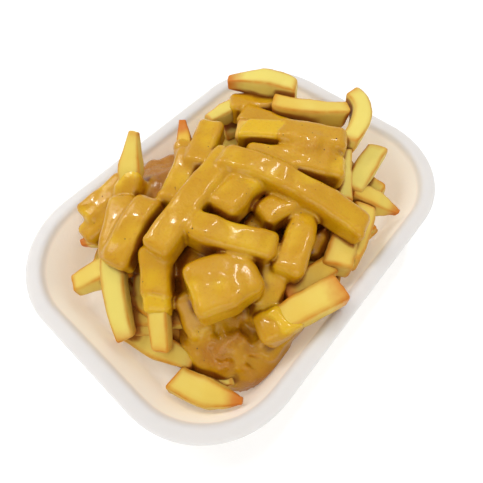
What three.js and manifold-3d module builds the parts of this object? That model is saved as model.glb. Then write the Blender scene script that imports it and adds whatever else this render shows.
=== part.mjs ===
// A portion of thick-cut chips with curry sauce in a shallow foam take-away tray.
// Millimetres, +Z up. The origin is the middle of the tray's underside, +X along its length.
import * as THREE from 'three';
import { mergeVertices } from 'three/addons/utils/BufferGeometryUtils.js';
import Module from 'manifold-3d';

const wasm = await Module();
wasm.setup();

// Driving dimensions of the tray
const TRAY_LENGTH = 178;
const TRAY_WIDTH = 130;
const TRAY_HEIGHT = 30;
const TRAY_CORNER = 40;
const FOAM = 2.6;
const FLOOR_TOP = 3;
const LIP_WIDTH = 6.2;
const WALL_RUN = 7.6;
const CORNER_STEPS = 7;

// Driving dimensions of the food
const GAP = 0.3;
const CHIP = 10;
const BEVEL = 1.5;
const COAT = 1.2;
const UNDER_COAT = 1;
const HEAP_TOP = 70;

// Mounds: middle, half lengths, rise, the power that squares the plan, and the one that
// rounds the shoulder
const CORE = { at: [-3, 0], half: [62, 46], rise: 30, square: 3, round: 0.5 };
const POOL = { at: [-12, 8], half: [50, 62], rise: 33, square: 2, round: 0.5 };
const FLOW = { at: [-38, -33], half: [24, 22], rise: 19, square: 2, round: 0.4 };

// Each chip: middle of one end, middle of the other end, and what differs from a plain chip.
// bend moves the middle, size is width and height, ends are the tapers, sauce is the coated
// stretch as shares of the length.
const ALL = [0, 1];
const CHIPS = [
  // far end, top layer
  [[45, 48, 45], [62, 18, 45], { bend: [2, -1, 1], size: [11, 11], ends: [0.5, 0.8] }],
  [[39, 40, 37], [62, 18, 37], { sauce: ALL }],
  [[49, 22, 43], [67, -8, 43], { bend: [-2, -1, 0], ends: [0.9, 0.9] }],
  [[76, -4, 45], [49, -19, 43], { bend: [4, -4, 1], size: [9, 10], ends: [0.8, 0.9] }],
  [[66, -29, 32], [38, -32, 30], { size: [10, 10] }],
  [[57, -38, 24], [38, -40, 14], { size: [10, 10] }],
  [[40, -31, 29], [48, -54, 25], { size: [10, 10], ends: [1, 0.3] }],
  [[49, -20, 38], [29, -34, 33], { size: [7, 11] }],
  // long coated chips across the top
  [[4, 14, 49], [20, -48, 38], { bend: [3, 1, 2], sauce: ALL }],
  [[21, 20, 47], [46, -19, 46], { bend: [1, 0, 1], sauce: [0.4, 1] }],
  [[14, 8, 46], [36, -26, 43], { sauce: ALL }],
  [[10, 14, 46], [-42, 6, 43], { bend: [0, 0, 1], size: [11, 11], sauce: ALL }],
  [[-26, 3, 45], [-11, -26, 39], { bend: [-1, -1, 1], size: [10, 12], sauce: ALL }],
  [[-45, -16, 39], [-23, -27, 39], { size: [20, 14], ends: [1, 0.75], sauce: ALL }],
  [[6, -1, 43], [-14, -2, 44], { bend: [0, 0, 2], size: [11, 11], sauce: ALL }],
  [[18, -20, 39], [-3, -14, 40], { size: [10, 10], sauce: ALL }],
  [[14, -24, 37], [-15, -36, 36], { bend: [0, -1, 1], ends: [0.8, 1.1], sauce: ALL }],
  [[36, 30, 38], [46, -6, 39], { sauce: ALL }],
  // along the near right side
  [[37, -41, 28], [9, -50, 29], { bend: [2, -1, 0], size: [10, 10] }],
  [[22, -41, 30], [3, -49, 29], { size: [12, 11] }],
  [[5, -46, 27], [-20, -40, 29], { size: [10, 10], ends: [1, 0.8] }],
  [[-6, -56, 38], [-36, -42, 28], { size: [11, 11], sauce: [0.75, 1] }],
  [[-6, -25, 34], [-32, -40, 24], { bend: [0, 0, 2], sauce: ALL }],
  [[-38, -24, 17], [-46, -46, 10], { sauce: ALL }],
  [[-40, -45, 14], [-16, -47, 18], { size: [10, 10], sauce: ALL }],
  // near end
  [[-40, 10, 39], [-66, -16, 22], { bend: [0, 0, 1], ends: [1, 0.75], sauce: [0, 0.55] }],
  [[-50, 27, 34], [-72, -1, 19], { bend: [-1, 1, 1], ends: [0.9, 0.8] }],
  [[-72, 31, 24], [-50, 20, 28], { size: [11, 10], ends: [0.8, 1] }],
  [[-70, 8, 10], [-60, -27, 12], { bend: [-1, 0, 0], size: [11, 10], ends: [0.9, 0.7] }],
  [[-70, -25, 11], [-59, -52, 20], { bend: [-1, -1, 0], size: [12, 9], ends: [0.95, 0.25] }],
  [[-62, -34, 10], [-54, -44, 12], { size: [8, 8], ends: [1, 0.7] }],
  [[-44, -8, 27], [-50, -22, 17], { sauce: ALL }],
  // far left side
  [[-10, 52, 52], [-33, 38, 31], { size: [10, 10], ends: [0.4, 1], sauce: [0.6, 1] }],
  [[12, 46, 46], [-5, 27, 33], { size: [8, 9], ends: [0.4, 1], sauce: [0.42, 1] }],
  [[19, 34, 43], [-3, 22, 43], { sauce: ALL }],
  [[2, 30, 41], [-22, 20, 39], { sauce: ALL }],
  [[-33, 38, 37], [-54, 21, 33], { bend: [0, 0, 1], sauce: ALL }],
  [[-27, 26, 40], [-55, 18, 35], { bend: [0, 0, 2], sauce: ALL }],
  [[-24, 49, 31], [-48, 50, 28], { size: [10, 10], sauce: ALL }],
  [[-36, 44, 29], [-53, 45, 23], { size: [10, 10], sauce: ALL }],
  [[-57, 47, 21], [-46, 40, 22], { size: [7, 7], ends: [0.5, 1] }],
  [[24, 43, 37], [40, 39, 37], { size: [8, 9], ends: [0.7, 1] }],
  // lower layers that show from the sides
  [[70, -14, 10], [62, 18, 10], { size: [10, 11] }],
  [[58, 38, 13], [70, 12, 20], { ends: [0.8, 1] }],
  [[50, 41, 14], [18, 46, 17], { size: [10, 11] }],
  [[63, 22, 24], [32, 40, 25], { size: [11, 10] }],
  [[58, 30, 31], [36, 8, 33], { size: [10, 11] }],
  [[60, -4, 25], [50, -30, 20], { size: [11, 11] }],
  [[62, 8, 32], [34, -10, 31], { size: [10, 10] }],
  [[-54, 34, 15], [-62, 6, 14], {}],
  [[-22, -43, 10], [18, -44, 10], { size: [11, 10] }],
  [[24, -42, 14], [50, -36, 12], { size: [10, 11] }],
  [[-60, 34, 11], [-40, 46, 13], { size: [10, 10] }],
  [[-30, 10, 34], [2, 32, 33], { sauce: ALL }],
  [[-44, 38, 24], [-28, 22, 33], { size: [12, 12], sauce: ALL }],
  [[-42, -19, 30], [8, -11, 34], { sauce: ALL }],
];

// A closed mesh from rings of points that all run the same way round, the ends capped by fans
function skinGeometry(rings) {
  const sides = rings[0].length;
  const positions = rings.flat(2);
  const index = [];
  for (let r = 0; r < rings.length - 1; r += 1) {
    const here = r * sides;
    const next = here + sides;
    for (let s = 0; s < sides; s += 1) {
      const t = (s + 1) % sides;
      index.push(here + s, here + t, next + t, here + s, next + t, next + s);
    }
  }
  const last = (rings.length - 1) * sides;
  for (let s = 1; s < sides - 1; s += 1) {
    index.push(0, s + 1, s, last, last + s, last + s + 1);
  }
  const geometry = new THREE.BufferGeometry();
  geometry.setAttribute('position', new THREE.Float32BufferAttribute(positions, 3));
  geometry.setIndex(index);
  return geometry;
}

function toSolid(source) {
  const geometry = source.clone();
  geometry.deleteAttribute('normal');
  geometry.deleteAttribute('uv');
  const merged = mergeVertices(geometry, 1e-4);
  const vertProperties = new Float32Array(merged.attributes.position.array);
  const triVerts = new Uint32Array(merged.index.array);
  return new wasm.Manifold(new wasm.Mesh({ numProp: 3, vertProperties, triVerts }));
}

function toGeometry(solid) {
  const mesh = solid.getMesh();
  const geometry = new THREE.BufferGeometry();
  geometry.setAttribute('position', new THREE.BufferAttribute(mesh.vertProperties, 3));
  geometry.setIndex(new THREE.BufferAttribute(mesh.triVerts, 1));
  return geometry;
}

function union(solids) {
  return solids.reduce((sum, solid) => sum.add(solid));
}

// The one connected outer skin: loose scraps are dropped and sealed hollows filled
function largest(solid) {
  return solid.decompose().reduce((best, piece) => (piece.volume() > best.volume() ? piece : best));
}

// One round-cornered loop of the tray, inset from its outer outline, at height z
function trayLoop(inset, z) {
  const corner = Math.max(TRAY_CORNER - inset, 1);
  const x = TRAY_LENGTH / 2 - inset - corner;
  const y = TRAY_WIDTH / 2 - inset - corner;
  const centres = [[x, y], [-x, y], [-x, -y], [x, -y]];
  return centres.flatMap(([cx, cy], quarter) => {
    const points = [];
    for (let s = 0; s <= CORNER_STEPS; s += 1) {
      const angle = (Math.PI / 2) * (quarter + s / CORNER_STEPS);
      points.push([cx + corner * Math.cos(angle), cy + corner * Math.sin(angle), z]);
    }
    return points;
  });
}

// An open line through the given points, each inner one that has a radius rounded off
function roundedLine(corners) {
  return corners.flatMap(({ at, radius = 0, steps = 1 }, i) => {
    if (!radius) return [at];
    const here = new THREE.Vector2(...at);
    const back = new THREE.Vector2(...corners[i - 1].at).sub(here).normalize();
    const on = new THREE.Vector2(...corners[i + 1].at).sub(here).normalize();
    const reach = radius / Math.tan(Math.acos(back.dot(on)) / 2);
    const curve = new THREE.QuadraticBezierCurve(
      here.clone().addScaledVector(back, reach), here, here.clone().addScaledVector(on, reach));
    return curve.getPoints(steps).map((p) => [p.x, p.y]);
  });
}

// Section through the tray: inset from the outer outline, then height
const WALL_FOOT = LIP_WIDTH + WALL_RUN;
const LIP_UNDER = TRAY_HEIGHT - FOAM;
const insideLine = [
  { at: [WALL_FOOT + 5, FLOOR_TOP] },
  { at: [WALL_FOOT, FLOOR_TOP], radius: 5, steps: 3 },
  { at: [LIP_WIDTH, TRAY_HEIGHT], radius: 3.2, steps: 3 },
];
const outsideLine = [
  { at: [0, TRAY_HEIGHT], radius: 1, steps: 2 },
  { at: [0, LIP_UNDER], radius: 0.8 },
  { at: [LIP_WIDTH - FOAM, LIP_UNDER], radius: 2, steps: 2 },
  { at: [WALL_FOOT - FOAM, 0], radius: 4, steps: 2 },
  { at: [WALL_FOOT + 3, 0] },
];

function trayGeometry() {
  const section = roundedLine([...insideLine, ...outsideLine]);
  return skinGeometry(section.reverse().map(([inset, z]) => trayLoop(inset, z)));
}

// All the space inside the tray and above its lip that food can take
function roomSolid() {
  const section = roundedLine([...insideLine, { at: [1, TRAY_HEIGHT] }, { at: [1, HEAP_TOP] }]);
  return toSolid(skinGeometry(section.map(([inset, z]) => trayLoop(inset + GAP, z + GAP))));
}

// A low dome that stands on the tray's floor
function mound({ at, half, rise, square, round }, grow = 0) {
  const foot = FLOOR_TOP + GAP;
  const sectors = 20;
  const shares = [1, 0.93, 0.8, 0.6, 0.3];
  const rings = shares.map((share) => {
    const z = foot + (rise + grow) * (1 - share * share) ** round;
    const ring = [];
    for (let s = 0; s < sectors; s += 1) {
      const angle = (2 * Math.PI * s) / sectors;
      const c = Math.cos(angle);
      const d = Math.sin(angle);
      const reach = share * (Math.abs(c) ** square + Math.abs(d) ** square) ** (-1 / square);
      ring.push([at[0] + (half[0] + grow) * reach * c, at[1] + (half[1] + grow) * reach * d, z]);
    }
    return ring;
  });
  const skirt = rings[0].map(([x, y]) => [x, y, foot - 2]);
  return toSolid(skinGeometry([skirt, ...rings]));
}

// A chip, or the coat on a stretch of it, as a bar along a slightly bent line. It has eight
// sides and bevelled ends, or four and plain ends where it is hidden.
function bar([from, to, { bend = [0, 0, 0], size = [CHIP, CHIP], ends = [1, 1] }], grow, part, hidden) {
  const a = new THREE.Vector3(...from);
  const b = new THREE.Vector3(...to);
  const middle = a.clone().add(b).multiplyScalar(0.5);
  const pull = middle.addScaledVector(new THREE.Vector3(...bend), 2);
  const line = new THREE.QuadraticBezierCurve3(a, pull, b);
  const length = line.getLength();
  const bevel = BEVEL / length;
  const bent = new THREE.Vector3(...bend).length();
  const tapered = ends[0] !== 1 || ends[1] !== 1;
  const inner = bent > 2.5 ? [0.35, 0.65] : (tapered || bent ? [0.5] : []);
  const stops = hidden ? [0, ...inner, 1] : [0, bevel, ...inner, 1 - bevel, 1];
  const low = part[0] - (part[0] === 0 ? grow / length : 0);
  const high = part[1] + (part[1] === 1 ? grow / length : 0);
  const rings = stops.map((stop, i) => {
    const t = low + (high - low) * stop;
    const held = THREE.MathUtils.clamp(t, 0, 1);
    const along = line.getTangent(held);
    const place = line.getPoint(held).addScaledVector(along, (t - held) * length);
    const side = new THREE.Vector3().crossVectors(along, new THREE.Vector3(0, 0, 1)).normalize();
    const up = new THREE.Vector3().crossVectors(side, along);
    const taper = 1 + (ends[0] - 1) * Math.max(0, 1 - held * 2.2)
      + (ends[1] - 1) * Math.max(0, 1 - (1 - held) * 2.2);
    const tip = !hidden && (i === 0 || i === stops.length - 1) ? BEVEL : 0;
    const w = (size[0] / 2) * taper + grow - tip;
    const h = (size[1] / 2) * taper + grow - tip;
    const c = 0.42 * Math.min(w, h);
    const square = [[w, h], [-w, h], [-w, -h], [w, -h]];
    const bevelled = [
      [w, h - c], [w - c, h], [c - w, h], [-w, h - c],
      [-w, c - h], [c - w, -h], [w - c, -h], [w, c - h]];
    const outline = hidden ? square : bevelled;
    return outline.map(([s, u]) => place.clone().addScaledVector(side, -s).addScaledVector(up, u).toArray());
  });
  return toSolid(skinGeometry(rings));
}

function heapSolid(grow) {
  const bars = CHIPS.map((chip) => {
    const hidden = chip[2].sauce === ALL;
    return bar(chip, hidden ? grow - UNDER_COAT : grow, ALL, hidden);
  });
  return largest(union([mound(CORE, grow), ...bars]).intersect(room));
}

function sauceSolid() {
  const coats = CHIPS.filter((chip) => chip[2].sauce).map((chip) => bar(chip, COAT, chip[2].sauce, false));
  const whole = union([mound(POOL), mound(FLOW), ...coats]).intersect(room);
  return largest(whole.subtract(heapSolid(GAP)));
}

function named(name, geometry, color, roughness) {
  const material = new THREE.MeshStandardMaterial({ color, roughness, metalness: 0, flatShading: true });
  const mesh = new THREE.Mesh(geometry, material);
  mesh.name = name;
  return mesh;
}

const room = roomSolid();
const portion = new THREE.Group();
portion.add(named('tray', trayGeometry(), '#e8e4e0', 0.6));
portion.add(named('fries', toGeometry(heapSolid(0)), '#e6c75c', 0.65));
portion.add(named('sauce', toGeometry(sauceSolid()), '#cf9a24', 0.3));

export default portion;
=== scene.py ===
"""A portion of thick-cut chips with curry sauce in a foam take-away tray."""
import math

import bpy
import numpy as np
import openvdb
from mathutils import Matrix, Vector
from mathutils.bvhtree import BVHTree


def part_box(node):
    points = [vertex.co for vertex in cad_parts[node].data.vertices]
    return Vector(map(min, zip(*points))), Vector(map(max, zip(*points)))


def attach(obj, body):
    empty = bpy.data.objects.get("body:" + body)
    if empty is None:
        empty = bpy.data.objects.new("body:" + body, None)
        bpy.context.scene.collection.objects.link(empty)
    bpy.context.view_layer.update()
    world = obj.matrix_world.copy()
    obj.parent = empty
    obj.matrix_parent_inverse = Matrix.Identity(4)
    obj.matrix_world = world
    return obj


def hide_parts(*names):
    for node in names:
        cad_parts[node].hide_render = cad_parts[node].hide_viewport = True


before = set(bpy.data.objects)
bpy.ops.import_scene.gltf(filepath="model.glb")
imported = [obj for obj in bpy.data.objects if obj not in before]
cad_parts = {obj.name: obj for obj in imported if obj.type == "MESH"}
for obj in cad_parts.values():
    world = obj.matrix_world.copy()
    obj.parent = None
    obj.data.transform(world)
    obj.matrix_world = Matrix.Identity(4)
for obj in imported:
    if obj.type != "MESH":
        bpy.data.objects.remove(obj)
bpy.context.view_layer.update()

# Lengths are in millimetres until a mesh is made, with the origin under the tray's middle
MM = 0.001

# Driving dimensions of the tray
tray_low, tray_high = (np.array(corner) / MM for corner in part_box("tray"))
TRAY_LENGTH, TRAY_WIDTH, TRAY_HEIGHT = tray_high - tray_low
TRAY_CORNER = 40
FOAM = 2.6
FLOOR_TOP = 3
LIP_WIDTH = 6.2
WALL_RUN = 7.6

# Driving dimensions of the food
GAP = 0.3
CHIP = 10
COAT = 1.2
FILM = 0.45

# Mounds: middle, half lengths, rise, the power that squares the plan, and the one that rounds
# the shoulder. The core stands in for the hidden chips, and the others are sauce: the pool
# over the heap, the flow at the near corner, and what fills gaps between chips.
CORE = dict(at=(-3, 0), half=(62, 46), rise=30, square=3, round=0.5)
POOL = dict(at=(-12, 8), half=(50, 62), rise=33, square=2, round=0.5)
FLOW = dict(at=(-38, -33), half=(24, 22), rise=19, square=2, round=0.4)
FILLINGS = (
    dict(at=(-28, -6), half=(20, 18), rise=34, square=2, round=0.3),
    dict(at=(12, -34), half=(17, 12), rise=30, square=2, round=0.3),
    dict(at=(31, -8), half=(15, 20), rise=47.5, square=2, round=0.25),
    dict(at=(-19, 38), half=(21, 17), rise=31, square=2, round=0.3),
    dict(at=(35, -9), half=(14, 17), rise=49.3, square=2, round=0.1),
    dict(at=(-52, -28), half=(12, 16), rise=17, square=2, round=0.3),
)
ALL = (0, 1)


def chip(start, end, bend=(0, 0, 0), size=(CHIP, CHIP), ends=(1, 1), sauce=None, glaze=None,
         brown=(0, 0), tone=0.3):
    """A chip between the middles of its two ends.

    Bend moves its middle, size is width and height, and ends are the tapers. Sauce and glaze are
    the thickly and thinly coated stretches as shares of the length, brown darkens the ends, and
    tone runs from pale to golden.
    """
    return dict(start=np.array(start, float), end=np.array(end, float), bend=np.array(bend, float),
                size=size, ends=ends, sauce=sauce, glaze=glaze, brown=brown, tone=tone)


CHIPS = [
    # far end, top layer
    chip((45, 48, 45), (62, 18, 45), (2, -1, 1), (11, 11), (0.5, 0.8), brown=(0.9, 0.3), tone=0.1),
    chip((39, 40, 37), (62, 18, 37), sauce=ALL),
    chip((49, 22, 43), (67, -8, 43), (-2, -1, 0), ends=(0.9, 0.9), brown=(0.3, 0.3), tone=0.55),
    chip((76, -4, 45), (49, -19, 43), (4, -4, 1), (9, 10), (0.8, 0.9), brown=(0.5, 0), tone=0.1),
    chip((66, -29, 32), (38, -32, 30), size=(10, 10), tone=0.1),
    chip((57, -38, 24), (38, -40, 14), size=(10, 10), tone=0.25),
    chip((40, -31, 29), (48, -54, 25), size=(10, 10), ends=(1, 0.3), brown=(0, 1.0), tone=0.6),
    chip((49, -20, 38), (29, -34, 33), size=(7, 11), tone=0.1),
    # long coated chips across the top
    chip((4, 14, 49), (20, -48, 38), (3, 1, 2), sauce=ALL),
    chip((21, 20, 47), (46, -19, 46), (1, 0, 1), sauce=(0.4, 1), glaze=(0.04, 0.5), tone=0.6),
    chip((14, 8, 46), (36, -26, 43), sauce=ALL),
    chip((10, 14, 46), (-42, 6, 43), (0, 0, 1), (11, 11), sauce=ALL),
    chip((-26, 3, 45), (-11, -26, 39), (-1, -1, 1), (10, 12), sauce=ALL),
    chip((-45, -16, 39), (-23, -27, 39), size=(20, 14), ends=(1, 0.75), sauce=ALL),
    chip((6, -1, 43), (-14, -2, 44), (0, 0, 2), (11, 11), sauce=ALL),
    chip((18, -20, 39), (-3, -14, 40), size=(10, 10), sauce=ALL),
    chip((14, -24, 37), (-15, -36, 36), (0, -1, 1), ends=(0.8, 1.1), sauce=ALL),
    chip((36, 30, 38), (46, -6, 39), sauce=ALL),
    # along the near right side
    chip((37, -41, 28), (9, -50, 29), (2, -1, 0), (10, 10), tone=0.5),
    chip((22, -41, 30), (3, -49, 29), size=(12, 11), tone=0.35),
    chip((5, -46, 27), (-20, -40, 29), size=(10, 10), ends=(1, 0.8), brown=(0, 1), tone=0.7),
    chip((-6, -56, 38), (-36, -42, 28), size=(11, 11), sauce=(0.75, 1), glaze=(0.6, 0.9),
         brown=(0.8, 0), tone=0.6),
    chip((-6, -25, 34), (-32, -40, 24), (0, 0, 2), sauce=ALL),
    chip((-38, -24, 17), (-46, -46, 10), sauce=ALL),
    chip((-40, -45, 14), (-16, -47, 18), size=(10, 10), sauce=ALL),
    # near end
    chip((-40, 10, 39), (-66, -16, 22), (0, 0, 1), ends=(1, 0.75), sauce=(0, 0.5),
         glaze=(0.4, 0.68), tone=0.5),
    chip((-50, 27, 34), (-72, -1, 19), (-1, 1, 1), ends=(0.9, 0.8), brown=(0, 0.6), tone=0.1),
    chip((-72, 31, 24), (-50, 20, 28), size=(11, 10), ends=(0.8, 1), tone=0.35),
    chip((-70, 8, 10), (-60, -27, 12), (-1, 0, 0), (11, 10), (0.9, 0.7), brown=(0.1, 0.4),
         tone=0.5),
    chip((-70, -25, 11), (-59, -52, 20), (-1, -1, 0), (12, 9), (0.95, 0.25), brown=(0, 1.1),
         tone=0.55),
    chip((-62, -34, 10), (-54, -44, 12), size=(8, 8), ends=(1, 0.7), glaze=ALL, tone=0.5),
    chip((-44, -8, 27), (-50, -22, 17), sauce=ALL),
    # far left side
    chip((-10, 52, 52), (-33, 38, 31), size=(10, 10), ends=(0.4, 1), sauce=(0.6, 1),
         brown=(0.5, 0)),
    chip((12, 46, 46), (-5, 27, 33), size=(8, 9), ends=(0.4, 1), sauce=(0.42, 1),
         brown=(1.6, 0), tone=0.9),
    chip((19, 34, 43), (-3, 22, 43), sauce=ALL),
    chip((2, 30, 41), (-22, 20, 39), sauce=ALL),
    chip((-33, 38, 37), (-54, 21, 33), (0, 0, 1), sauce=ALL),
    chip((-27, 26, 40), (-55, 18, 35), (0, 0, 2), sauce=ALL),
    chip((-24, 49, 31), (-48, 50, 28), size=(10, 10), sauce=ALL),
    chip((-36, 44, 29), (-53, 45, 23), size=(10, 10), sauce=ALL),
    chip((-57, 47, 21), (-46, 40, 22), size=(7, 7), ends=(0.5, 1), brown=(1.2, 0)),
    chip((24, 43, 37), (40, 39, 37), size=(8, 9), ends=(0.7, 1)),
    # lower layers that show from the sides
    chip((70, -14, 10), (62, 18, 10), size=(10, 11), tone=0.5),
    chip((58, 38, 13), (70, 12, 20), ends=(0.8, 1), brown=(0.6, 0)),
    chip((50, 41, 14), (18, 46, 17), size=(10, 11), tone=0.5),
    chip((63, 22, 24), (32, 40, 25), size=(11, 10), brown=(0.4, 0)),
    chip((58, 30, 31), (36, 8, 33), size=(10, 11), tone=0.5),
    chip((60, -4, 25), (50, -30, 20), size=(11, 11), tone=0.5),
    chip((62, 8, 32), (34, -10, 31), size=(10, 10), tone=0.4),
    chip((-54, 34, 15), (-62, 6, 14), tone=0.6),
    chip((-22, -43, 10), (18, -44, 10), size=(11, 10), tone=0.6),
    chip((24, -42, 14), (50, -36, 12), size=(10, 11), tone=0.6),
    chip((-60, 34, 11), (-40, 46, 13), size=(10, 10), tone=0.6),
    chip((-30, 10, 34), (2, 32, 33), sauce=ALL),
    chip((-44, 38, 24), (-28, 22, 33), size=(12, 12), sauce=ALL),
    chip((-42, -19, 30), (8, -11, 34), sauce=ALL),
]


def smooth(low, high, value):
    """From 0 at low to 1 at high, level at both."""
    t = np.clip((value - low) / (high - low), 0, 1)
    return t * t * (3 - 2 * t)


def waves(seed, count, shortest, longest):
    """A smooth field made of sine waves in random directions, from about -1 to 1."""
    rng = np.random.default_rng(seed)
    directions = rng.normal(size=(count, 3))
    directions /= np.linalg.norm(directions, axis=1)[:, None]
    lengths = shortest * (longest / shortest) ** rng.random(count)
    turns = (directions / lengths[:, None] * 2 * math.pi).astype(np.float32)
    phases = rng.random(count) * 2 * math.pi

    def field(x, y, z):
        total = 0
        for (a, b, c), phase in zip(turns, phases):
            total = total + np.sin(a * x + b * y + c * z + phase)
        return np.tanh(total / math.sqrt(count))

    return field


def new_object(name, points, faces, material):
    """A smooth-shaded object from points in millimetres."""
    mesh = bpy.data.meshes.new(name)
    mesh.from_pydata((np.asarray(points) * MM).tolist(), [], faces)
    mesh.update()
    piece = bpy.data.objects.new(name, mesh)
    bpy.context.scene.collection.objects.link(piece)
    mesh.materials.append(material)
    mesh.polygons.foreach_set("use_smooth", [True] * len(mesh.polygons))
    return piece


def add_attribute(piece, name, values):
    """Three numbers for each point, read by the material."""
    layer = piece.data.attributes.new(name, "FLOAT_VECTOR", "POINT")
    layer.data.foreach_set("vector", np.asarray(values, np.float32).ravel())


def ring_faces(rings, sides, first=0):
    """Quads between neighbouring closed rings of points, and a face on the first and last ring."""
    faces = []
    for r in range(rings - 1):
        here = first + r * sides
        for s in range(sides):
            t = (s + 1) % sides
            faces.append((here + s, here + t, here + sides + t, here + sides + s))
    last = first + (rings - 1) * sides
    faces.append(tuple(range(first, first + sides))[::-1])
    faces.append(tuple(range(last, last + sides)))
    return faces


# The tray

def tray_loop(inset, z, steps):
    """One round-cornered loop of the tray, inset from its outer outline, at height z."""
    corner = max(TRAY_CORNER - inset, 1)
    x = TRAY_LENGTH / 2 - inset - corner
    y = TRAY_WIDTH / 2 - inset - corner
    points = []
    for quarter, (cx, cy) in enumerate(((x, y), (-x, y), (-x, -y), (x, -y))):
        for s in range(steps + 1):
            angle = math.pi / 2 * (quarter + s / steps)
            points.append((cx + corner * math.cos(angle), cy + corner * math.sin(angle), z))
    return points


def rounded_line(corners):
    """An open line through the given points, each inner one that has a radius rounded off."""
    line = []
    for i, (point, radius, steps) in enumerate(corners):
        here = np.array(point, float)
        if not radius:
            line.append(here)
            continue
        back = np.array(corners[i - 1][0]) - here
        on = np.array(corners[i + 1][0]) - here
        back, on = back / np.linalg.norm(back), on / np.linalg.norm(on)
        reach = radius / math.tan(math.acos(back @ on) / 2)
        for t in np.linspace(0, 1, steps + 1):
            line.append(here + back * reach * (1 - t) ** 2 + on * reach * t ** 2)
    return line


# Section through the tray: inset from the outer outline and height, then radius and its steps
WALL_FOOT = LIP_WIDTH + WALL_RUN
LIP_UNDER = TRAY_HEIGHT - FOAM
INSIDE = [
    ((WALL_FOOT + 5, FLOOR_TOP), 0, 0),
    ((WALL_FOOT, FLOOR_TOP), 5, 8),
    ((LIP_WIDTH, TRAY_HEIGHT), 3.2, 8),
]
OUTSIDE = [
    ((0, TRAY_HEIGHT), 1.1, 6),
    ((0, LIP_UNDER), 1, 4),
    ((LIP_WIDTH - FOAM, LIP_UNDER), 2, 5),
    ((WALL_FOOT - FOAM, 0), 4, 7),
    ((WALL_FOOT + 3, 0), 0, 0),
]


def inner_inset(z):
    """How far the tray's inner face lies inside the outer outline at height z."""
    line = np.array(rounded_line(INSIDE + [((1, TRAY_HEIGHT), 0, 0)]))
    return np.interp(z, line[:-1, 1], line[:-1, 0])


def plan_distance(x, y, inset):
    """Distance outside the tray's outline moved in by inset, negative inside it."""
    corner = TRAY_CORNER - inset
    qx = np.abs(x) - (TRAY_LENGTH / 2 - inset - corner)
    qy = np.abs(y) - (TRAY_WIDTH / 2 - inset - corner)
    outer = np.hypot(np.maximum(qx, 0), np.maximum(qy, 0))
    return outer + np.minimum(np.maximum(qx, qy), 0) - corner


def wall_distance(x, y, z):
    """Distance outside the tray's inner face."""
    return plan_distance(x, y, inner_inset(z))


def make_tray(material):
    corner_steps, loop_gap, dimple = 20, 2.5, 0.12
    section = rounded_line(INSIDE + OUTSIDE)
    # the wall and the floor's edge take more loops, so that the foam's dimples have points
    fine = [section[0]]
    for a, b in zip(section, section[1:]):
        parts = max(1, round(np.linalg.norm(b - a) / loop_gap))
        fine += [a + (b - a) * k / parts for k in range(1, parts + 1)]
    floor = [(inset, FLOOR_TOP) for inset in (60, 50, 40, 31, 24)]
    base = [(inset, 0) for inset in (22, 30, 40, 50, 60)]
    loops = [*floor, *fine, *base][::-1]
    points = np.array([p for inset, z in loops for p in tray_loop(inset, z, corner_steps)])
    faces = ring_faces(len(loops), 4 * (corner_steps + 1))
    dents = waves(3, 24, 9, 40)(*points.T)
    inside = (points[:, 2] > FLOOR_TOP - 0.1) & (points[:, 2] < TRAY_HEIGHT - 0.6)
    points[:, 2] += np.where(inside, dimple * dents, 0)
    return new_object("tray_foam", points, faces, material)


# Chips

CHIP_SIDES, CHIP_RINGS = 28, 24
CAP_LENGTH = 1.3
# Rings of a cut end from its middle outwards: size, depth and how crisp the skin is
CAP_SCALE = np.array([0.04, 0.3, 0.58, 0.8, 0.92, 0.975])
CAP_DEPTH = CAP_LENGTH * np.array([1.0, 1.0, 0.97, 0.85, 0.6, 0.3])
CAP_CRISP = np.array([0, 0, 0.1, 0.6, 1, 1])
CAPS = len(CAP_SCALE)


def centre_line(c, t):
    """Point, direction, side and up at the shares t of the chip's length."""
    t = np.asarray(t, float)[..., None]
    a, b = c["start"], c["end"]
    pull = (a + b) / 2 + 2 * c["bend"]
    place = (1 - t) ** 2 * a + 2 * t * (1 - t) * pull + t * t * b
    along = 2 * (1 - t) * (pull - a) + 2 * t * (b - pull)
    along /= np.linalg.norm(along, axis=-1, keepdims=True)
    side = np.cross(along, (0, 0, 1))
    side /= np.linalg.norm(side, axis=-1, keepdims=True)
    return place, along, side, np.cross(side, along)


def taper(c, t):
    """The section's size at the shares t of the length, for the tapers of the two ends."""
    return (1 + (c["ends"][0] - 1) * np.maximum(0, 1 - 2.2 * t)
            + (c["ends"][1] - 1) * np.maximum(0, 1 - 2.2 * (1 - t)))


def covered(stretch, share, soft):
    """1 on a stretch of a chip, going to 0 over a length either side of the stretch's ends."""
    if stretch is None:
        return 0 * share
    start, end = stretch
    cover = np.ones_like(share)
    if start > 0:
        cover = cover * smooth(-soft, soft, share - start)
    if end < 1:
        cover = cover * smooth(soft, -soft, share - end)
    return cover


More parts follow.
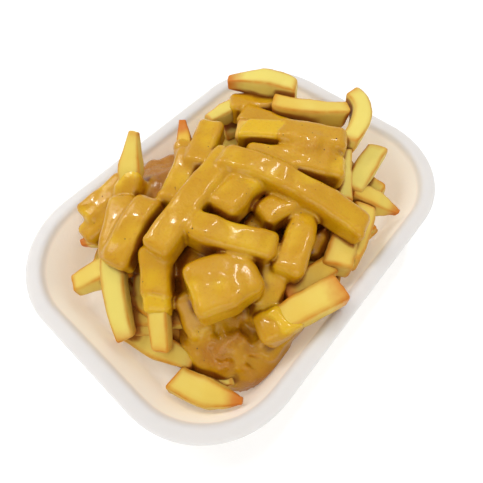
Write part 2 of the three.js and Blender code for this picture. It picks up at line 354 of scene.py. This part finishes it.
def chip_points(c, rng):
    """Rings of one chip: rounded square sections, uneven along its length, with cut ends."""
    angle = 2 * math.pi * (np.arange(CHIP_SIDES) + 0.5) / CHIP_SIDES
    cos, sin = np.cos(angle), np.sin(angle)
    power = rng.uniform(5, 7)
    reach = (np.abs(cos) ** power + np.abs(sin) ** power) ** (-1 / power)
    across, upward = cos * reach, sin * reach
    length = np.linalg.norm(c["end"] - c["start"])
    share = np.concatenate([np.zeros(CAPS), np.linspace(0, 1, CHIP_RINGS), np.ones(CAPS)])
    scale = np.concatenate([CAP_SCALE, np.ones(CHIP_RINGS), CAP_SCALE[::-1]])
    beyond = np.concatenate([-CAP_DEPTH, np.zeros(CHIP_RINGS), CAP_DEPTH[::-1]])

    # under its coat a chip is slimmer and shorter, and the cut ends stay inside its length
    soft = 3 / length
    under = np.maximum(covered(c["sauce"], share, soft), 0.6 * covered(c["glaze"], share, soft))
    slim = 1 - 0.1 * under
    inner = (CAP_LENGTH + 1.2 * under) / length
    place, along, side, up = centre_line(c, inner * (1 - share) + (1 - inner) * share)
    width = c["size"][0] / 2 * taper(c, share) * scale * slim
    height = c["size"][1] / 2 * taper(c, share) * scale * slim

    # uneven width, a slight wedge and a slight twist
    drift = rng.uniform(0, 2 * math.pi, 8)

    def wobble(slow, fast, first):
        return (1 + 0.035 * np.sin(share * slow + drift[first])
                + 0.02 * np.sin(share * fast + drift[first + 1]))

    width = width * wobble(5, 13, 0)
    height = height * wobble(4, 11, 2)
    wedge = rng.uniform(-0.09, 0.09, 2)
    u = across[None] * width[:, None]
    v = upward[None] * height[:, None] * (1 + wedge[0] * across[None])
    u = u * (1 + wedge[1] * upward[None])
    turn = 0.10 * np.sin(share * 3 + drift[4])[:, None]
    u, v = u * np.cos(turn) - v * np.sin(turn), u * np.sin(turn) + v * np.cos(turn)

    # faces sink a little between the crisp corners, and the cut ends slant
    flat = 1 - smooth(0.55, 0.88, np.minimum(np.abs(across), np.abs(upward)))
    sink = 1 - 0.03 * flat[None] * (1 + np.sin(share * 9 + drift[5]))[:, None] / 2
    slant = rng.uniform(-0.3, 0.3, 4) * np.repeat(1 - 0.7 * under[[0, -1]], 2)
    near_start, near_end = 1 - smooth(0, 0.16, share), smooth(0.84, 1, share)
    tilt = (near_start[:, None] * (slant[0] * u + slant[1] * v)
            + near_end[:, None] * (slant[2] * u + slant[3] * v))
    points = (place[:, None] - side[:, None] * (u * sink)[..., None]
              + up[:, None] * (v * sink)[..., None]
              + along[:, None] * (beyond[:, None] + tilt)[..., None])

    # the skin is crisp along the corners and round the rims of the cut ends
    rim = np.concatenate(
        [CAP_CRISP, [0.75, 0.2], np.zeros(CHIP_RINGS - 4), [0.2, 0.75], CAP_CRISP[::-1]])
    edge = np.maximum(np.outer(scale > 0.9, 1 - flat), rim[:, None])
    browned = length * 0.24
    distance = share * length
    burnt = (c["brown"][0] * np.exp(-(distance / browned) ** 2)
             + c["brown"][1] * np.exp(-((length - distance) / browned) ** 2))
    burnt = np.repeat(burnt[:, None], CHIP_SIDES, 1)
    tone = np.full_like(burnt, c["tone"])
    looks = np.stack([burnt, edge, tone], -1)
    return points.reshape(-1, 3), looks.reshape(-1, 3), len(share)


def mound_height(m, x, y):
    """Height of a mound's top, and how far out a place is: 0 in the middle, 1 at the foot."""
    s = (np.abs((x - m["at"][0]) / m["half"][0]) ** m["square"]
         + np.abs((y - m["at"][1]) / m["half"][1]) ** m["square"]) ** (1 / m["square"])
    return FLOOR_TOP + GAP + m["rise"] * np.maximum(1 - s * s, 0) ** m["round"], s


def keep_in_tray(points):
    """Moves what would cross the tray's inner wall or floor back inside, with the gap left."""
    points = points.copy()
    points[:, 2] = np.maximum(points[:, 2], FLOOR_TOP + GAP)
    low = points[:, 2] < TRAY_HEIGHT + GAP
    step = 0.05
    for _ in range(3):
        x, y, z = points.T
        out = wall_distance(x, y, z) + GAP
        gx = (wall_distance(x + step, y, z) - wall_distance(x - step, y, z)) / (2 * step)
        gy = (wall_distance(x, y + step, z) - wall_distance(x, y - step, z)) / (2 * step)
        push = np.where(low, np.maximum(out, 0), 0)
        points[:, 0] -= push * gx
        points[:, 1] -= push * gy
    return points


def core_points():
    """Rings of the bumpy core from its foot to its top, a little inside the core's mound."""
    sectors, rings, inside = 96, 26, 2
    share = np.linspace(1, 0.02, rings)[:, None]
    angle = (2 * math.pi * np.arange(sectors) / sectors)[None]
    c, d = np.cos(angle), np.sin(angle)
    power = CORE["square"]
    reach = share * (np.abs(c) ** power + np.abs(d) ** power) ** (-1 / power)
    x = CORE["at"][0] + (CORE["half"][0] - inside) * reach * c
    y = CORE["at"][1] + (CORE["half"][1] - inside) * reach * d
    z = mound_height(CORE, x, y)[0] - inside
    bumps = 1.4 * waves(8, 30, 9, 22)(x, y, z) * smooth(1, 0.8, share)
    points = np.stack([x, y, np.maximum(z + bumps, FLOOR_TOP + GAP)], -1)
    skirt = points[:1] * (1, 1, 0) + (0, 0, FLOOR_TOP + GAP)
    return np.concatenate([skirt, points]).reshape(-1, 3), rings + 1, sectors


def filler_chips(rng):
    """More chips that lie round the core's flank, half sunk in it."""
    places, clear_of_flow, near_end, near_end_top = 46, 34, -44, 11
    power = CORE["square"]
    chips = []
    for k in range(places):
        angle = 2 * math.pi * (k + rng.random()) / places
        share = rng.uniform(0.72, 0.97)
        c, s = math.cos(angle), math.sin(angle)
        reach = share * (abs(c) ** power + abs(s) ** power) ** (-1 / power)
        x = CORE["at"][0] + CORE["half"][0] * reach * c
        y = CORE["at"][1] + CORE["half"][1] * reach * s
        z = max(float(mound_height(CORE, x, y)[0]) - 4, FLOOR_TOP + GAP + 5.5)
        if math.hypot(x - FLOW["at"][0], y - FLOW["at"][1]) < clear_of_flow:
            continue
        if x < near_end:
            z = min(z, near_end_top)
        heading = angle + math.pi / 2 + rng.uniform(-0.7, 0.7)
        half = rng.uniform(12, 19)
        lean = rng.uniform(-5, 5)
        step = np.array([half * math.cos(heading), half * math.sin(heading), lean])
        middle = np.array([x, y, z + abs(lean)])
        tone = rng.uniform(0.3, 0.8)
        brown = (rng.uniform(0, 0.5), rng.uniform(0, 0.5))
        chips.append(chip(middle - step, middle + step, tone=tone, brown=brown))
    return chips


def make_fries(material, chips, food):
    """All chips and the core as one mesh, with a finely uneven skin."""
    rng = np.random.default_rng(11)
    crumble, crumb_height = waves(5, 40, 2.5, 9), 0.096
    all_points, all_looks, faces, count = [], [], [], 0
    for c in chips:
        points, looks, rings = chip_points(c, rng)
        crumbs = crumb_height * crumble(*points.T)[:, None]
        all_points.append(keep_in_tray(points + crumbs * np.sign(points - points.mean(0))))
        all_looks.append(looks)
        faces += ring_faces(rings, CHIP_SIDES, count)
        count += len(points)
    points, rings, sides = core_points()
    all_points.append(keep_in_tray(points))
    # painted shade: the core is half browned and golden all over, darker than the chips on top,
    # where it shows between them
    all_looks.append(np.tile([0.5, 0, 1], (len(points), 1)))
    faces += ring_faces(rings, sides, count)
    piece = new_object("fries_heap", np.concatenate(all_points), faces, material)
    add_attribute(piece, "look", np.concatenate(all_looks))
    # painted shade: how deep in a recess each point lies, which darkens the chips in crevices
    add_attribute(piece, "hollow_shade", np.stack([shade(piece, food)] * 3, -1))
    return piece


# Sauce

# The grid of cubes that the sauce's distance fields are worked out on
VOXEL = 0.82
GRID_LOW = np.array((-84, -66, 1.0))
GRID_HIGH = np.array((84, 66, 62))
FAR = 9.0

# Widths of the fillets between coats, between mounds, and where a coat meets a mound
COAT_FILLET = 1.6
MOUND_FILLET = 3.0
SAUCE_FILLET = 2.4

# How much a coat loses where its chip is bare, so that it ends under the chip's skin
BARE = 2.6


def blend_min(a, b, k):
    """The lower of two fields, with a fillet about k wide where they meet."""
    h = np.clip(0.5 + 0.5 * (b - a) / k, 0, 1)
    return b + (a - b) * h - k * h * (1 - h)


def bar_distance(c, x, y, z):
    """Distance to a chip's rounded bar, and the share of its length beside each place."""
    a, b = c["start"], c["end"]
    chord = b - a
    length = np.linalg.norm(chord)
    rel = ((x - a[0]) * chord[0] + (y - a[1]) * chord[1] + (z - a[2]) * chord[2]) / length ** 2
    t = np.clip(rel, 0, 1)
    shape = t.shape
    place, along, side, up = centre_line(c, t.ravel())
    gap = np.stack([x.ravel(), y.ravel(), z.ravel()], -1) - place
    u = np.abs((gap * side).sum(-1)) - c["size"][0] / 2 * taper(c, t.ravel())
    v = np.abs((gap * up).sum(-1)) - c["size"][1] / 2 * taper(c, t.ravel())
    w = np.abs(rel.ravel() - 0.5) * length - length / 2
    corner = 2.0
    q = np.stack([u, v, w]) + corner
    far = np.sqrt((np.maximum(q, 0) ** 2).sum(0)) + np.minimum(q.max(0), 0) - corner
    return far.reshape(shape), rel


def make_fields(chips):
    """Over a grid of cubes: distance to the sauce's skin, to the nearest chip, and to any food."""
    counts = np.ceil((GRID_HIGH - GRID_LOW) / VOXEL).astype(int)
    axes = [(GRID_LOW[i] + VOXEL * np.arange(counts[i])).astype(np.float32) for i in range(3)]
    x, y, z = np.meshgrid(*axes, indexing="ij")
    coat = np.full(x.shape, FAR, np.float32)
    bare = np.full(x.shape, FAR, np.float32)
    swell, drips = waves(21, 30, 9, 28), waves(27, 24, 6, 15)
    for c in chips:
        margin = max(c["size"]) / 2 + 8 + np.abs(c["bend"])
        low = np.minimum(c["start"], c["end"]) - margin
        high = np.maximum(c["start"], c["end"]) + margin
        i0 = np.clip(((low - GRID_LOW) / VOXEL).astype(int), 0, counts)
        i1 = np.clip(((high - GRID_LOW) / VOXEL).astype(int) + 1, 0, counts)
        part = tuple(slice(i, j) for i, j in zip(i0, i1))
        px, py, pz = x[part], y[part], z[part]
        distance, share = bar_distance(c, px, py, pz)
        bare[part] = np.minimum(bare[part], distance)
        if c["sauce"] is None:
            continue
        ripple = swell(px, py, pz)
        thick = COAT * (1 + 0.35 * ripple + 0.16 * drips(px, py, pz))
        length = np.linalg.norm(c["end"] - c["start"])
        uneven = share + 3 * ripple / length
        thick = thick - BARE * (1 - covered(c["sauce"], uneven, 2.5 / length))
        film = FILM + 0.2 * ripple - BARE * (1 - covered(c["glaze"], uneven, 2 / length))
        skin = (distance - np.maximum(thick, film)).astype(np.float32)
        coat[part] = blend_min(coat[part], skin, COAT_FILLET)
    surface = np.full(x.shape, FAR, np.float32)
    ripple = waves(33, 30, 9, 34)(x, y, z)
    for m in (POOL, FLOW, *FILLINGS):
        top, s = mound_height(m, x, y)
        body = np.maximum((z - top) * 0.75, (s - 1) * min(m["half"])) - 1.1 * ripple
        surface = blend_min(surface, body.astype(np.float32), MOUND_FILLET)
    # the flow is lumpier than the rest
    near_flow = smooth(24, 14, np.hypot(x - FLOW["at"][0], y - FLOW["at"][1]))
    surface = surface + (0.35 + 0.7 * near_flow) * waves(44, 24, 5, 12)(x, y, z)
    whole = blend_min(coat, surface, SAUCE_FILLET)
    # the tray's inner wall and floor cut it off
    wall = np.where(z > TRAY_HEIGHT, -FAR, (wall_distance(x, y, z) + GAP) * 0.95)
    whole = np.maximum(np.maximum(whole, wall), FLOOR_TOP + GAP - z)
    top, s = mound_height(CORE, x, y)
    heap = np.minimum(bare, np.maximum(z - top, (s - 1) * min(CORE["half"])))
    return whole.astype(np.float32), bare, np.minimum(whole, heap).astype(np.float32)


def sample(grid, points):
    """Trilinear value of a grid at each point."""
    g = (points - GRID_LOW) / VOXEL
    g = np.clip(g, 0, np.array(grid.shape) - 1.001)
    i = g.astype(int)
    f = g - i
    total = 0
    for dx in (0, 1):
        for dy in (0, 1):
            for dz in (0, 1):
                weight = np.abs((1 - dx, 1 - dy, 1 - dz) - f).prod(1)
                total = total + weight * grid[i[:, 0] + dx, i[:, 1] + dy, i[:, 2] + dz]
    return total


def shade(piece, food):
    """How deep in a recess each point of a piece lies, from 0 to 1, which the materials paint as
    shade.
    """
    count = len(piece.data.vertices)
    points, normals = np.empty(count * 3, np.float32), np.empty(count * 3, np.float32)
    piece.data.vertices.foreach_get("co", points)
    piece.data.vertices.foreach_get("normal", normals)
    points, normals = points.reshape(-1, 3) / MM, normals.reshape(-1, 3)
    total = 0
    for reach, weight in ((1.5, 0.2), (3, 0.25), (5, 0.3), (8, 0.25)):
        total = total + weight * (1 - sample(food, points + normals * reach) / reach)
    return np.clip(total, 0, 1)


def largest_part(points, quads):
    """The biggest connected part of a mesh, without loose bits and closed holes inside it."""
    label = np.arange(len(points))
    while True:
        lower = label.copy()
        np.minimum.at(lower, quads.ravel(), np.repeat(label[quads].min(1), 4))
        lower = lower[lower]
        if (lower == label).all():
            break
        label = lower
    parts, sizes = np.unique(label, return_counts=True)
    keep = label == parts[sizes.argmax()]
    index = np.cumsum(keep) - 1
    return points[keep], index[quads[keep[quads[:, 0]]]]


def make_sauce(material, whole, bare, food):
    """The skin of the sauce's field, which knows how far it lies from the nearest chip."""
    grid = openvdb.FloatGrid(FAR)
    grid.copyFromArray(whole)
    points, quads = largest_part(*grid.convertToQuads(0.0))
    points = points * VOXEL + GRID_LOW
    piece = new_object("sauce_coat", points, quads.tolist(), material)
    depth = sample(bare, points)
    # the sauce's look holds its depth over the chips and, for painted shade, how deep in a recess
    # it lies
    add_attribute(piece, "look", np.stack([depth, shade(piece, food), np.zeros_like(depth)], -1))
    return piece


def make_specks(sauce, material):
    """Flecks of pepper that sit on the sauce's upper skin."""
    tries, ring, above_heap, flattest = 60, 6, 80, 0.4
    rng = np.random.default_rng(5)
    tree = BVHTree.FromObject(sauce, bpy.context.evaluated_depsgraph_get())
    points, faces = [], []
    for _ in range(tries):
        x, y = rng.uniform(-58, 50), rng.uniform(-50, 50)
        hit, normal, _, _ = tree.ray_cast(Vector((x, y, above_heap)) * MM, Vector((0, 0, -1)))
        radius = rng.uniform(0.2, 0.42)
        turn = rng.uniform(0, math.pi)
        if hit is None or normal.z < flattest:
            continue
        hit = hit / MM
        side = normal.orthogonal().normalized()
        other = normal.cross(side)
        first = len(points)
        points.append(hit + normal * radius * 0.45)
        for height, reach in ((0.2, 0.8), (-0.3, 1)):
            for k in range(ring):
                a = turn + 2 * math.pi * k / ring
                out = side * math.cos(a) * reach + other * math.sin(a) * reach * 0.7
                points.append(hit + out * radius + normal * radius * height)
        points.append(hit - normal * radius * 0.6)
        top, bottom = first, first + 2 * ring + 1
        for k in range(ring):
            j = (k + 1) % ring
            upper, lower = first + 1, first + 1 + ring
            faces.append((top, upper + k, upper + j))
            faces.append((upper + k, lower + k, lower + j, upper + j))
            faces.append((bottom, lower + j, lower + k))
    return new_object("pepper_specks", [tuple(p) for p in points], faces, material)


# Materials

def colour(red, green, blue):
    """A screen colour from 0 to 255 as the linear values that shaders take."""
    linear = []
    for value in (red, green, blue):
        v = value / 255
        linear.append(v / 12.92 if v <= 0.04045 else ((v + 0.055) / 1.055) ** 2.4)
    return (*linear, 1)


class Shader:
    """A material with a few short calls for its nodes."""

    def __init__(self, name):
        self.material = bpy.data.materials.new(name)
        self.material.use_nodes = True
        self.nodes = self.material.node_tree.nodes
        self.links = self.material.node_tree.links
        self.surface = self.nodes["Principled BSDF"]

    def node(self, kind, settings=None, **inputs):
        made = self.nodes.new(kind)
        for key, value in (settings or {}).items():
            setattr(made, key, value)
        for key, value in inputs.items():
            self.feed(made.inputs[key.replace("_", " ")], value)
        return made

    def feed(self, socket, value):
        if isinstance(value, bpy.types.NodeSocket):
            self.links.new(value, socket)
        else:
            socket.default_value = value

    def math(self, operation, a, b=0.0):
        made = self.nodes.new("ShaderNodeMath")
        made.operation = operation
        self.feed(made.inputs[0], a)
        self.feed(made.inputs[1], b)
        return made.outputs[0]

    def mix(self, share, a, b):
        made = self.nodes.new("ShaderNodeMix")
        made.data_type = "RGBA"
        self.feed(made.inputs[0], share)
        self.feed(made.inputs[6], a)
        self.feed(made.inputs[7], b)
        return made.outputs[2]

    def ramp(self, value, low, high, start=0.0, end=1.0):
        made = self.nodes.new("ShaderNodeMapRange")
        made.interpolation_type = "SMOOTHSTEP"
        names = ("Value", "From Min", "From Max", "To Min", "To Max")
        for key, item in zip(names, (value, low, high, start, end)):
            self.feed(made.inputs[key], item)
        return made.outputs[0]

    def place(self):
        return self.node("ShaderNodeTexCoord").outputs["Object"]

    def noise(self, scale, detail=3.0, rough=0.5):
        made = self.node("ShaderNodeTexNoise", Vector=self.place(), Scale=scale, Detail=detail,
                         Roughness=rough)
        return made.outputs[0]

    def values(self, name):
        made = self.node("ShaderNodeAttribute", {"attribute_name": name})
        split = self.node("ShaderNodeSeparateXYZ", Vector=made.outputs["Vector"])
        return split.outputs

    def bump(self, height, strength, distance):
        made = self.node("ShaderNodeBump", Height=height, Strength=strength, Distance=distance)
        self.links.new(made.outputs[0], self.surface.inputs["Normal"])

    def set(self, **inputs):
        for key, value in inputs.items():
            self.feed(self.surface.inputs[key.replace("_", " ")], value)

    def glow_through(self, weight, radius, scale):
        """Light under the skin: how much, how far each colour goes, and their scale in metres."""
        self.set(Subsurface_Weight=weight, Subsurface_Radius=radius, Subsurface_Scale=scale)


def foam_material():
    s = Shader("foam")
    height = s.node("ShaderNodeSeparateXYZ", Vector=s.place()).outputs[2]
    above = s.ramp(height, 0.0015, 0.0030)
    # Painted light: from above the base to below the lip the foam is coloured lighter and glows
    # faintly, standing in for light through the thin walls.
    inside = s.math("MULTIPLY", s.ramp(height, 0.0298, 0.0255), above)
    # Painted light with real stain: the floor and low walls get warm patches, for light bounced
    # off the food and a faint grease stain.
    low = s.math("MULTIPLY", s.ramp(height, 0.024, 0.005), above)
    stain_and_bounce_light = s.math("MULTIPLY", low, s.ramp(s.noise(14.0, 4.0), 0.35, 0.7, 0.6, 1.0))
    tint = s.mix(inside, colour(215, 212, 210), colour(227, 223, 217))
    tint = s.mix(stain_and_bounce_light, tint, colour(222, 213, 200))
    cells = s.node("ShaderNodeTexVoronoi", {"feature": "SMOOTH_F1"}, Vector=s.place(), Scale=520.0)
    # the emission is painted light, a glow on the tray's walls and floor
    s.set(Base_Color=tint, Roughness=s.ramp(s.noise(240.0), 0.3, 0.7, 0.42, 0.6),
          Emission_Color=colour(255, 247, 234), Emission_Strength=s.math("MULTIPLY", inside, 0.25))
    s.glow_through(0.7, (1.0, 0.95, 0.85), 0.004)
    s.bump(s.math("ADD", cells.outputs[0], s.noise(900.0)), 0.12, 0.0004)
    return s.material


def chip_material():
    s = Shader("fried_potato")
    burnt, edge, tone = s.values("look")
    hollow_shade = s.values("hollow_shade")[0]
    patches = s.ramp(s.noise(48.0, 2.0, 0.5), 0.3, 0.7)
    golden = s.math("ADD", s.math("MULTIPLY", patches, 0.38), s.math("SUBTRACT", tone, 0.3))
    body = s.mix(golden, colour(225, 206, 104), colour(217, 168, 44))
    crisp = s.math("MULTIPLY", edge, s.ramp(s.noise(110.0), 0.3, 0.7, 0.45, 1.0))
    body = s.mix(crisp, body, colour(202, 124, 16))
    blotches = s.math("MULTIPLY", s.math("SUBTRACT", s.noise(150.0, 3.0), 0.5), 0.5)
    scorch = s.math("ADD", burnt, blotches)
    body = s.mix(s.ramp(scorch, 0.35, 1.15, 0.0, 0.9), body, colour(196, 104, 26))
    # Painted shade: chips darken to deep brown in crevices and under other food, by how deep in a
    # recess each point lies.
    body = s.mix(s.ramp(hollow_shade, 0.5, 1.0, 0.0, 0.85), body, colour(150, 72, 14))
    s.set(Base_Color=body, Roughness=s.ramp(s.noise(300.0), 0.3, 0.7, 0.38, 0.58))
    s.set(Specular_IOR_Level=0.45, Specular_Tint=(1, 0.85, 0.5, 1))
    s.glow_through(0.1, (1.0, 0.85, 0.5), 0.0022)
    pores = s.math("MULTIPLY", s.noise(1500.0, 3.0), 0.4)
    s.bump(s.math("ADD", s.noise(420.0, 5.0, 0.65), pores), 0.15, 0.0006)
    return s.material


def sauce_material():
    s = Shader("curry_sauce")
    depth, hollow_shade, _ = s.values("look")
    cloud = s.ramp(s.noise(60.0, 3.0), 0.3, 0.7, -0.5, 0.5)
    deep = s.ramp(s.math("ADD", depth, cloud), 1.0, 6.0)
    body = s.mix(deep, colour(197, 144, 6), colour(174, 112, 8))
    thin = s.ramp(depth, 1.3, 0.4)
    body = s.mix(thin, body, colour(216, 172, 16))
    grain = s.ramp(s.noise(700.0, 2.0), 0.55, 0.75, 0.0, 0.25)
    body = s.mix(grain, body, colour(168, 102, 12))
    # Painted shade: the sauce darkens to red-brown in crevices between the chips.
    body = s.mix(s.ramp(hollow_shade, 0.33, 0.9, 0.0, 0.88), body, colour(118, 50, 10))
    s.set(Base_Color=body, Roughness=s.ramp(s.noise(120.0), 0.3, 0.7, 0.28, 0.42))
    s.set(Specular_IOR_Level=0.45, Specular_Tint=(1, 0.8, 0.35, 1), Coat_Weight=0.45,
          Coat_Roughness=0.1)
    s.glow_through(0.35, (1.0, 0.6, 0.15), 0.0025)
    fine = s.math("MULTIPLY", s.noise(330.0, 3.0, 0.6), s.ramp(depth, 1.8, 5.0, 0.08, 1.0))
    s.bump(s.math("ADD", s.noise(130.0, 4.0, 0.55), fine), 0.5, 0.0016)
    return s.material


def pepper_material():
    s = Shader("pepper")
    s.set(Base_Color=s.mix(s.noise(1500.0), colour(34, 22, 12), colour(84, 52, 24)), Roughness=0.6)
    return s.material


def floor_material():
    s = Shader("pale_floor")
    tint = s.mix(s.noise(6.0), colour(250, 250, 250), colour(254, 254, 254))
    s.set(Base_Color=tint, Roughness=0.7, Emission_Color=colour(255, 255, 255),
          Emission_Strength=0.08)
    return s.material


# The scene

tray = make_tray(foam_material())
all_chips = CHIPS + filler_chips(np.random.default_rng(19))
sauce_field, chip_field, food_field = make_fields(all_chips)
fries = make_fries(chip_material(), all_chips, food_field)
sauce = make_sauce(sauce_material(), sauce_field, chip_field, food_field)
specks = make_specks(sauce, pepper_material())

for piece, node, slot in (
        (tray, "tray", "foam"), (fries, "fries", "chips"), (sauce, "sauce", "sauce")):
    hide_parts(node)
    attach(piece, "root")
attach(specks, "root")


FLOOR_SIZE = 2.4
# Area lights: name, place, size and power
LIGHTS = (
    ("window", (-0.15, 0.75, 0.75), (0.5, 0.35), 2.0),
    ("ceiling", (0.1, -0.1, 1.1), (0.9, 0.9), 1.3),
    ("fill", (-0.7, -0.6, 0.6), (0.8, 0.6), 2.3),
    ("lamp", (-0.05, 0.55, 0.8), (0.07, 0.05), 0.9),
    ("strip", (0.45, 0.1, 0.8), (0.04, 0.22), 0.8),
    ("spark", (0.11, 0.14, 0.95), (0.06, 0.04), 0.45),
)
LIGHTS_AIM = (0, 0, 0.03)
SKY_STRENGTH = 0.66
LENS, SENSOR = 27.91, 36
CAMERA_PLACE = (-67.88, -61.90, 172.07)
CAMERA_FORWARD = (0.34661, 0.31729, -0.88272)
CAMERA_UP = (0.67006, 0.57480, 0.46971)


def make_floor():
    """A plain pale floor, well beyond the tray."""
    bpy.ops.mesh.primitive_grid_add(x_subdivisions=8, y_subdivisions=8, size=FLOOR_SIZE)
    floor = bpy.context.object
    floor.name = "floor"
    floor.data.materials.append(floor_material())


def make_lights():
    """Soft studio light with small lamps for the glints on the sauce."""
    for name, place, size, power in LIGHTS:
        data = bpy.data.lights.new(name, "AREA")
        data.shape = "RECTANGLE"
        data.size, data.size_y = size
        data.energy = power
        lamp = bpy.data.objects.new(name, data)
        bpy.context.scene.collection.objects.link(lamp)
        lamp.location = place
        gaze = Vector(LIGHTS_AIM) - Vector(place)
        lamp.rotation_euler = gaze.to_track_quat("-Z", "Y").to_euler()
    world = bpy.data.worlds.new("studio")
    world.use_nodes = True
    sky = world.node_tree.nodes["Background"]
    sky.inputs["Color"].default_value = (1, 1, 1, 1)
    sky.inputs["Strength"].default_value = SKY_STRENGTH
    bpy.context.scene.world = world


def make_camera():
    """The photo's camera, solved from the outline of the tray's rim."""
    data = bpy.data.cameras.new("camera")
    data.lens = LENS
    data.sensor_width = SENSOR
    data.clip_start = 0.01
    camera = bpy.data.objects.new("camera", data)
    bpy.context.scene.collection.objects.link(camera)
    camera.location = Vector(CAMERA_PLACE) * MM
    forward = Vector(CAMERA_FORWARD)
    right = forward.cross(Vector(CAMERA_UP)).normalized()
    up = right.cross(forward)
    camera.rotation_euler = Matrix((right, up, -forward)).transposed().to_euler()
    bpy.context.scene.camera = camera


make_floor()
make_lights()
make_camera()
bpy.context.scene.view_settings.view_transform = "Standard"
